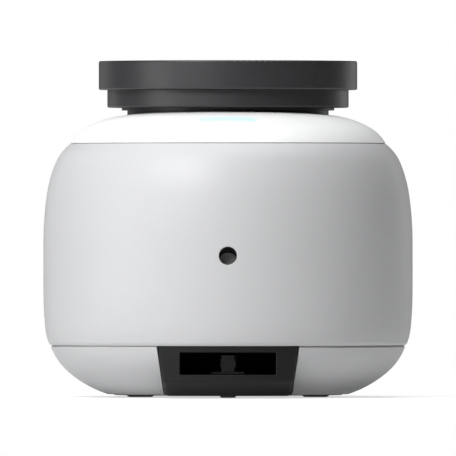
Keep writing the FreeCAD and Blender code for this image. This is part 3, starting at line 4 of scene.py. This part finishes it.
import bmesh
import bpy
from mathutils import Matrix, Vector


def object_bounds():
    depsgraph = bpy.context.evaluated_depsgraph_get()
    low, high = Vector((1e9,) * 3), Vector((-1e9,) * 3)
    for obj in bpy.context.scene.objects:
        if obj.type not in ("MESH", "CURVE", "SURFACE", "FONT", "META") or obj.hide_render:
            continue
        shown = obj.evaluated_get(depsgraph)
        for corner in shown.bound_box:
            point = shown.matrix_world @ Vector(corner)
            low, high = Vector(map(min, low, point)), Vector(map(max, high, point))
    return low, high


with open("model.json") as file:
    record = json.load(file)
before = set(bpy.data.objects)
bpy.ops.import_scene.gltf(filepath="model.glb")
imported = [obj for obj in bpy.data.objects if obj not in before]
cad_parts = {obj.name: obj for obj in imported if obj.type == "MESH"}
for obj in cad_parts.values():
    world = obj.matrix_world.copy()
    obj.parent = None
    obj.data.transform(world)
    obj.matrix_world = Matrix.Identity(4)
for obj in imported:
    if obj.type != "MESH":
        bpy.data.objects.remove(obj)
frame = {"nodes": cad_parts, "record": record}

MM = 0.001
CAD_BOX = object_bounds()
NODES = frame["nodes"]
SCENE = bpy.context.scene


# ---- Material nodes ----------------------------------------------------------------------

# The node's own band spacing, in metres, at a scale of 1.
WAVE_UNIT = 0.05 * 2 * math.pi


class Finish:
    """A procedural material under construction: a Principled shader and helpers round it."""

    def __init__(self, name):
        self.material = bpy.data.materials.new(name)
        self.material.use_nodes = True
        self.tree = self.material.node_tree
        self.shader = self.tree.nodes["Principled BSDF"]
        coordinates = self.tree.nodes.new("ShaderNodeTexCoord")
        self.place = coordinates.outputs["Object"]
        self.height = None

    def set(self, **values):
        """Plain values on the shader's own sockets; underscores stand for spaces."""
        for key, value in values.items():
            self.shader.inputs[key.replace("_", " ")].default_value = value
        return self

    def link(self, source, target):
        self.tree.links.new(source, target)
        return source

    def noise(self, size, detail, stretch=(1, 1, 1)):
        """Noise whose features are about size metres across."""
        mapping = self.tree.nodes.new("ShaderNodeMapping")
        mapping.inputs["Scale"].default_value = [axis / size for axis in stretch]
        self.link(self.place, mapping.inputs["Vector"])
        texture = self.tree.nodes.new("ShaderNodeTexNoise")
        texture.inputs["Scale"].default_value = 1.0
        texture.inputs["Detail"].default_value = detail
        self.link(mapping.outputs["Vector"], texture.inputs["Vector"])
        return texture.outputs["Fac"]

    def wave(self, size, axis):
        """Even bands across an axis, size metres apart."""
        texture = self.tree.nodes.new("ShaderNodeTexWave")
        texture.bands_direction = axis
        texture.inputs["Scale"].default_value = WAVE_UNIT / size
        self.link(self.place, texture.inputs["Vector"])
        return texture.outputs["Fac"]

    def cells(self, size, feature="F1"):
        """Irregular cells about size metres across."""
        mapping = self.tree.nodes.new("ShaderNodeMapping")
        mapping.inputs["Scale"].default_value = [1 / size] * 3
        self.link(self.place, mapping.inputs["Vector"])
        texture = self.tree.nodes.new("ShaderNodeTexVoronoi")
        texture.feature = feature
        texture.inputs["Scale"].default_value = 1.0
        self.link(mapping.outputs["Vector"], texture.inputs["Vector"])
        return texture.outputs["Distance"]

    def between(self, factor, low, high):
        """factor, which runs from 0 to 1, mapped to low to high."""
        node = self.tree.nodes.new("ShaderNodeMapRange")
        node.inputs["To Min"].default_value = low
        node.inputs["To Max"].default_value = high
        self.link(factor, node.inputs["Value"])
        return node.outputs["Result"]

    def step(self, factor, low, high):
        """0 below low and 1 above high, smooth between."""
        node = self.tree.nodes.new("ShaderNodeMapRange")
        node.interpolation_type = "SMOOTHSTEP"
        node.inputs["From Min"].default_value = low
        node.inputs["From Max"].default_value = high
        self.link(factor, node.inputs["Value"])
        return node.outputs["Result"]

    def colours(self, factor, first, second):
        """Base colour that runs between two colours with factor."""
        node = self.tree.nodes.new("ShaderNodeMix")
        node.data_type = "RGBA"
        node.inputs[6].default_value = (*first, 1)
        node.inputs[7].default_value = (*second, 1)
        self.link(factor, node.inputs["Factor"])
        self.link(node.outputs[2], self.shader.inputs["Base Color"])
        return node.outputs[2]

    def roughness(self, factor, low, high):
        self.link(self.between(factor, low, high), self.shader.inputs["Roughness"])
        return self

    def bump(self, factor, depth):
        """Relief of the given depth in metres, on top of any made before."""
        node = self.tree.nodes.new("ShaderNodeBump")
        node.inputs["Strength"].default_value = 1.0
        node.inputs["Distance"].default_value = depth
        self.link(factor, node.inputs["Height"])
        if self.height is not None:
            self.link(self.height, node.inputs["Normal"])
        self.height = self.link(node.outputs["Normal"], self.shader.inputs["Normal"])
        return self


def tinted(colour, amount):
    """The colour, a little darker or lighter."""
    return tuple(min(1.0, channel * (1 + amount)) for channel in colour)


# ---- Materials ---------------------------------------------------------------------------

def moulded(name, colour, rough, grain=0.5 * MM, depth=0.004 * MM, variation=0.015):
    """Injection-moulded plastic: a fine spark grain and a slight flow mottle."""
    made = Finish(name).set(IOR=1.5)
    made.colours(made.noise(60 * MM, 3), tinted(colour, -variation), tinted(colour, variation))
    made.roughness(made.noise(25 * MM, 4), rough * 0.92, rough * 1.08)
    made.bump(made.noise(grain, 2), depth)
    return made.material


def shell_white():
    return moulded("shell_white", (0.57, 0.574, 0.582), 0.46)


def cover_white():
    return moulded("cover_white", (0.90, 0.905, 0.91), 0.55, depth=0.002 * MM)


def panel_black():
    """Matt black plastic with a coarser grain than the shells'."""
    made = Finish("panel_black").set(Specular_IOR_Level=0.3, IOR=1.5)
    made.colours(made.noise(60 * MM, 3), (0.0065, 0.0065, 0.007), (0.0085, 0.0085, 0.009))
    made.roughness(made.noise(25 * MM, 4), 0.44, 0.5)
    made.bump(made.noise(0.7 * MM, 2), 0.012 * MM)
    return made.material


def liner_black():
    """A near-black flocked lining for the slot's tunnel: painted shade, so that the deep slot reads
    as black.
    """
    made = Finish("liner_black").set(Specular_IOR_Level=0.08)
    # painted shade: the lining is all but black, standing in for the shade inside the slot
    made.colours(made.noise(0.4 * MM, 3), (0.0015, 0.0015, 0.0016), (0.004, 0.004, 0.0043))
    made.roughness(made.noise(5 * MM, 3), 0.85, 1.0)
    made.bump(made.noise(0.3 * MM, 2), 0.08 * MM)
    return made.material


def sensor_grey():
    """A matt membrane with a faint weave."""
    colour = (0.46, 0.46, 0.465)
    return moulded("sensor_grey", colour, 0.6, grain=0.35 * MM, depth=0.01 * MM, variation=0.06)


def button_grey():
    return moulded("button_grey", (0.16, 0.165, 0.17), 0.4)


def caster_rubber():
    colour = (0.035, 0.035, 0.038)
    return moulded("caster_rubber", colour, 0.5, grain=1.2 * MM, depth=0.02 * MM, variation=0.12)


def powder_coat(name, colour, rough):
    """Powder-coated metal: a tight orange peel with a fine sparkle of grain."""
    made = Finish(name).set(IOR=1.5, Coat_Weight=0.15, Coat_Roughness=0.35)
    made.colours(made.noise(0.9 * MM, 3), tinted(colour, -0.12), tinted(colour, 0.12))
    made.roughness(made.noise(12 * MM, 3), rough * 0.9, rough * 1.1)
    made.bump(made.noise(1.1 * MM, 2), 0.02 * MM)
    made.bump(made.noise(0.35 * MM, 2), 0.008 * MM)
    return made.material


def deck_graphite():
    return powder_coat("deck_graphite", (0.027, 0.0265, 0.029), 0.44)


def neck_graphite():
    return powder_coat("neck_graphite", (0.022, 0.022, 0.024), 0.5)


def plate_black():
    return powder_coat("plate_black", (0.014, 0.014, 0.015), 0.5)


def light_lens():
    """Frosted lens, lit from below, with a slight mottle."""
    made = Finish("light_lens").set(Roughness=0.3, Emission_Strength=0.42, IOR=1.49)
    mottle = made.noise(8 * MM, 2)
    made.colours(mottle, (0.50, 0.80, 0.92), (0.56, 0.84, 0.94))
    glow = made.tree.nodes.new("ShaderNodeMix")
    glow.data_type = "RGBA"
    glow.inputs[6].default_value = (0.45, 0.82, 0.98, 1)
    glow.inputs[7].default_value = (0.60, 0.90, 1.00, 1)
    made.link(mottle, glow.inputs["Factor"])
    made.link(glow.outputs[2], made.shader.inputs["Emission Color"])
    made.bump(made.noise(0.5 * MM, 2), 0.01 * MM)
    return made.material


def metal(name, colour, rough, grain_stretch=(1, 1, 1), grain=0.6 * MM, depth=0.004 * MM):
    """Bare or plated metal with a directional grain."""
    made = Finish(name).set(Metallic=1.0)
    made.colours(made.noise(9 * MM, 4), tinted(colour, -0.06), tinted(colour, 0.06))
    brushed = made.noise(grain, 3, grain_stretch)
    made.roughness(brushed, rough * 0.75, rough * 1.3)
    made.bump(brushed, depth)
    return made.material


def zinc_steel():
    made = Finish("zinc_steel").set(Metallic=1.0)
    spangle = made.cells(6 * MM)
    made.colours(spangle, (0.46, 0.48, 0.50), (0.60, 0.61, 0.62))
    made.roughness(made.noise(3 * MM, 4), 0.28, 0.44)
    made.bump(made.noise(0.8 * MM, 3), 0.006 * MM)
    return made.material


def bright_steel():
    return metal("bright_steel", (0.62, 0.62, 0.64), 0.22, (1, 1, 12))


def cast_aluminium():
    return metal("cast_aluminium", (0.56, 0.57, 0.58), 0.42, grain=0.9 * MM, depth=0.02 * MM)


def dark_aluminium():
    return metal("dark_aluminium", (0.06, 0.06, 0.065), 0.36, grain=0.5 * MM)


def contact_brass():
    return metal("contact_brass", (0.72, 0.56, 0.30), 0.24, (1, 1, 8))


def motor_steel():
    """Varnished laminations, seen edge-on as fine lines."""
    made = Finish("motor_steel").set(Metallic=0.8, Coat_Weight=0.4)
    sheets = made.wave(0.6 * MM, "X")
    made.colours(sheets, (0.10, 0.09, 0.09), (0.24, 0.22, 0.21))
    made.roughness(sheets, 0.3, 0.5)
    made.bump(sheets, 0.03 * MM)
    return made.material


def tyre_rubber():
    """Tread rubber: dull, with a dusty bloom and a fine pebble."""
    made = Finish("tyre_rubber").set(IOR=1.5)
    bloom = made.noise(14 * MM, 4)
    made.colours(bloom, (0.012, 0.012, 0.012), (0.024, 0.023, 0.022))
    made.roughness(bloom, 0.62, 0.85)
    made.bump(made.noise(0.9 * MM, 2), 0.05 * MM)
    return made.material


def battery_wrap():
    """Heat-shrink film: glossy, with shallow ripples."""
    made = Finish("battery_wrap").set(IOR=1.5, Coat_Weight=0.3)
    made.colours(made.noise(40 * MM, 2), (0.010, 0.035, 0.085), (0.014, 0.045, 0.10))
    made.roughness(made.noise(10 * MM, 3), 0.24, 0.38)
    made.bump(made.noise(14 * MM, 2, (1, 0.3, 1)), 0.25 * MM)
    return made.material


def board_green():
    """Solder mask over copper traces, which show as slightly raised, lighter runs."""
    made = Finish("board_green").set(IOR=1.5, Coat_Weight=0.3)
    traces = made.step(made.cells(5 * MM, "DISTANCE_TO_EDGE"), 0.03, 0.06)
    made.colours(traces, (0.035, 0.17, 0.075), (0.012, 0.075, 0.038))
    made.roughness(made.noise(6 * MM, 2), 0.25, 0.35)
    made.bump(traces, 0.03 * MM)
    return made.material


def scanner_black():
    made = Finish("scanner_black").set(IOR=1.5, Coat_Weight=0.6)
    made.colours(made.noise(20 * MM, 2), (0.006, 0.006, 0.008), (0.010, 0.009, 0.011))
    made.roughness(made.noise(10 * MM, 3), 0.10, 0.18)
    made.bump(made.noise(3 * MM, 2), 0.005 * MM)
    return made.material


MATERIALS = {make.__name__: make() for make in (
    shell_white, cover_white, panel_black, liner_black, button_grey, caster_rubber, deck_graphite,
    neck_graphite, plate_black, light_lens, zinc_steel, bright_steel, cast_aluminium, dark_aluminium,
    sensor_grey, contact_brass, motor_steel, tyre_rubber, battery_wrap, board_green, scanner_black)}


def paint_nodes():
    """Gives every CAD node the finish of its slot in the record."""
    for row in frame["record"]["subparts"]:
        mesh = NODES[row["node"]].data
        mesh.materials.clear()
        mesh.materials.append(MATERIALS[row["material_slot"]])


# ---- Edges -------------------------------------------------------------------------------

# How far the sharp edges of each of these nodes are rounded over.
EDGE_WIDTHS = {
    "front_panel": 0.8 * MM, "deck_plate": 0.6 * MM, "rear_panel": 0.6 * MM, "base_plate": 0.4 * MM,
    "main_shell": 0.5 * MM, "lower_shell": 0.5 * MM, "top_cover": 0.4 * MM, "deck_skirt": 0.5 * MM,
}
WELD_DISTANCE = 0.002 * MM
SHARP_ANGLE = 30
EDGE_SEGMENTS = 2


def soften(item, width):
    """Rounds an item's sharp edges, so that they catch the light as moulded edges do."""
    weld = item.modifiers.new("weld", "WELD")
    weld.merge_threshold = WELD_DISTANCE
    bevel = item.modifiers.new("bevel", "BEVEL")
    bevel.width = width
    bevel.segments = EDGE_SEGMENTS
    bevel.limit_method = "ANGLE"
    bevel.angle_limit = math.radians(SHARP_ANGLE)
    bevel.use_clamp_overlap = True
    bevel.miter_outer = "MITER_ARC"
    normals = item.modifiers.new("normals", "WEIGHTED_NORMAL")
    normals.keep_sharp = False


# ---- Stage -------------------------------------------------------------------------------

FRAME_SPAN = 0.5472
EYE_HEIGHT = 0.2028
LENS = 1600.0
SENSOR = 36.0

# Every softbox has this distance and size; then name, azimuth, elevation and power.
# Left and right are the camera's.
LIGHT_DISTANCE = 2.4
LIGHT_SIZE = 1.1
LIGHTS = [
    ("key", -30, 35, 40),
    ("low side", -65, 4, 11),
    ("right rim", 140, 10, 3.5),
    ("left rim", -140, 10, 2),
]
CEILING_POWER = 1.9
CEILING_SPREAD = 60
ROOM_GLOW = 0.03
# How strongly the floor glows on the object, and to the camera.
FLOOR_GLOW = 0.14
FLOOR_GLOW_SEEN = 0.6
FLOOR_REACH = 3.0


def camera():
    """A very long lens, square-on to the front, so that level edges stay level."""
    low, high = CAD_BOX
    centre = (low + high) / 2
    data = bpy.data.cameras.new("camera")
    data.lens = LENS
    data.sensor_width = SENSOR
    distance = FRAME_SPAN / 2 / (SENSOR / 2 / LENS)
    item = bpy.data.objects.new("camera", data)
    item.location = (centre.x, -distance, EYE_HEIGHT)
    item.rotation_euler = (math.radians(90), 0, 0)
    data.clip_start = distance / 10
    data.clip_end = distance * 2
    SCENE.collection.objects.link(item)
    SCENE.camera = item


def soft_light(name, azimuth, elevation, power):
    """A square softbox aimed at the object's middle; azimuth runs from the front towards +X."""
    low, high = CAD_BOX
    target = (low + high) / 2
    turn, lift = math.radians(azimuth), math.radians(elevation)
    back = Vector((math.sin(turn) * math.cos(lift), -math.cos(turn) * math.cos(lift), math.sin(lift)))
    data = bpy.data.lights.new(name, "AREA")
    data.size = LIGHT_SIZE
    data.energy = power
    item = bpy.data.objects.new(name, data)
    item.location = target + back * LIGHT_DISTANCE
    item.rotation_euler = (-back).to_track_quat("-Z", "Y").to_euler()
    SCENE.collection.objects.link(item)


def ceiling_light(power, spread):
    """An even glow from above, spread over an angle in degrees."""
    data = bpy.data.lights.new("ceiling", "SUN")
    data.energy = power
    data.angle = math.radians(spread)
    SCENE.collection.objects.link(bpy.data.objects.new("ceiling", data))


def floor():
    """A plain pale floor that the base stands on, which the camera sees paler than it lights."""
    mesh = bpy.data.meshes.new("floor")
    form = bmesh.new()
    bmesh.ops.create_grid(form, x_segments=2, y_segments=2, size=FLOOR_REACH)
    form.to_mesh(mesh)
    form.free()
    item = bpy.data.objects.new("floor", mesh)
    made = Finish("floor_paint")
    made.colours(made.noise(0.4, 2), (0.66, 0.66, 0.66), (0.68, 0.68, 0.68))
    made.set(Roughness=0.6, Emission_Color=(1, 1, 1, 1))
    path = made.tree.nodes.new("ShaderNodeLightPath")
    glow = made.between(path.outputs["Is Camera Ray"], FLOOR_GLOW, FLOOR_GLOW_SEEN)
    made.link(glow, made.shader.inputs["Emission Strength"])
    mesh.materials.append(made.material)
    SCENE.collection.objects.link(item)


def surroundings(strength):
    """A white backdrop that lights the object only a little."""
    world = bpy.data.worlds.new("room")
    world.use_nodes = True
    tree = world.node_tree
    glow = tree.nodes["Background"]
    glow.inputs["Strength"].default_value = strength
    backdrop = tree.nodes.new("ShaderNodeBackground")
    for shade in (glow, backdrop):
        shade.inputs["Color"].default_value = (1, 1, 1, 1)
    path = tree.nodes.new("ShaderNodeLightPath")
    mix = tree.nodes.new("ShaderNodeMixShader")
    tree.links.new(path.outputs["Is Camera Ray"], mix.inputs["Fac"])
    tree.links.new(glow.outputs["Background"], mix.inputs[1])
    tree.links.new(backdrop.outputs["Background"], mix.inputs[2])
    tree.links.new(mix.outputs["Shader"], tree.nodes["World Output"].inputs["Surface"])
    SCENE.world = world


# ---- Assembly ----------------------------------------------------------------------------

paint_nodes()
for node, width in EDGE_WIDTHS.items():
    soften(NODES[node], width)
floor()
surroundings(ROOM_GLOW)
camera()
for light in LIGHTS:
    soft_light(*light)
ceiling_light(CEILING_POWER, CEILING_SPREAD)
SCENE.view_settings.view_transform = "Standard"
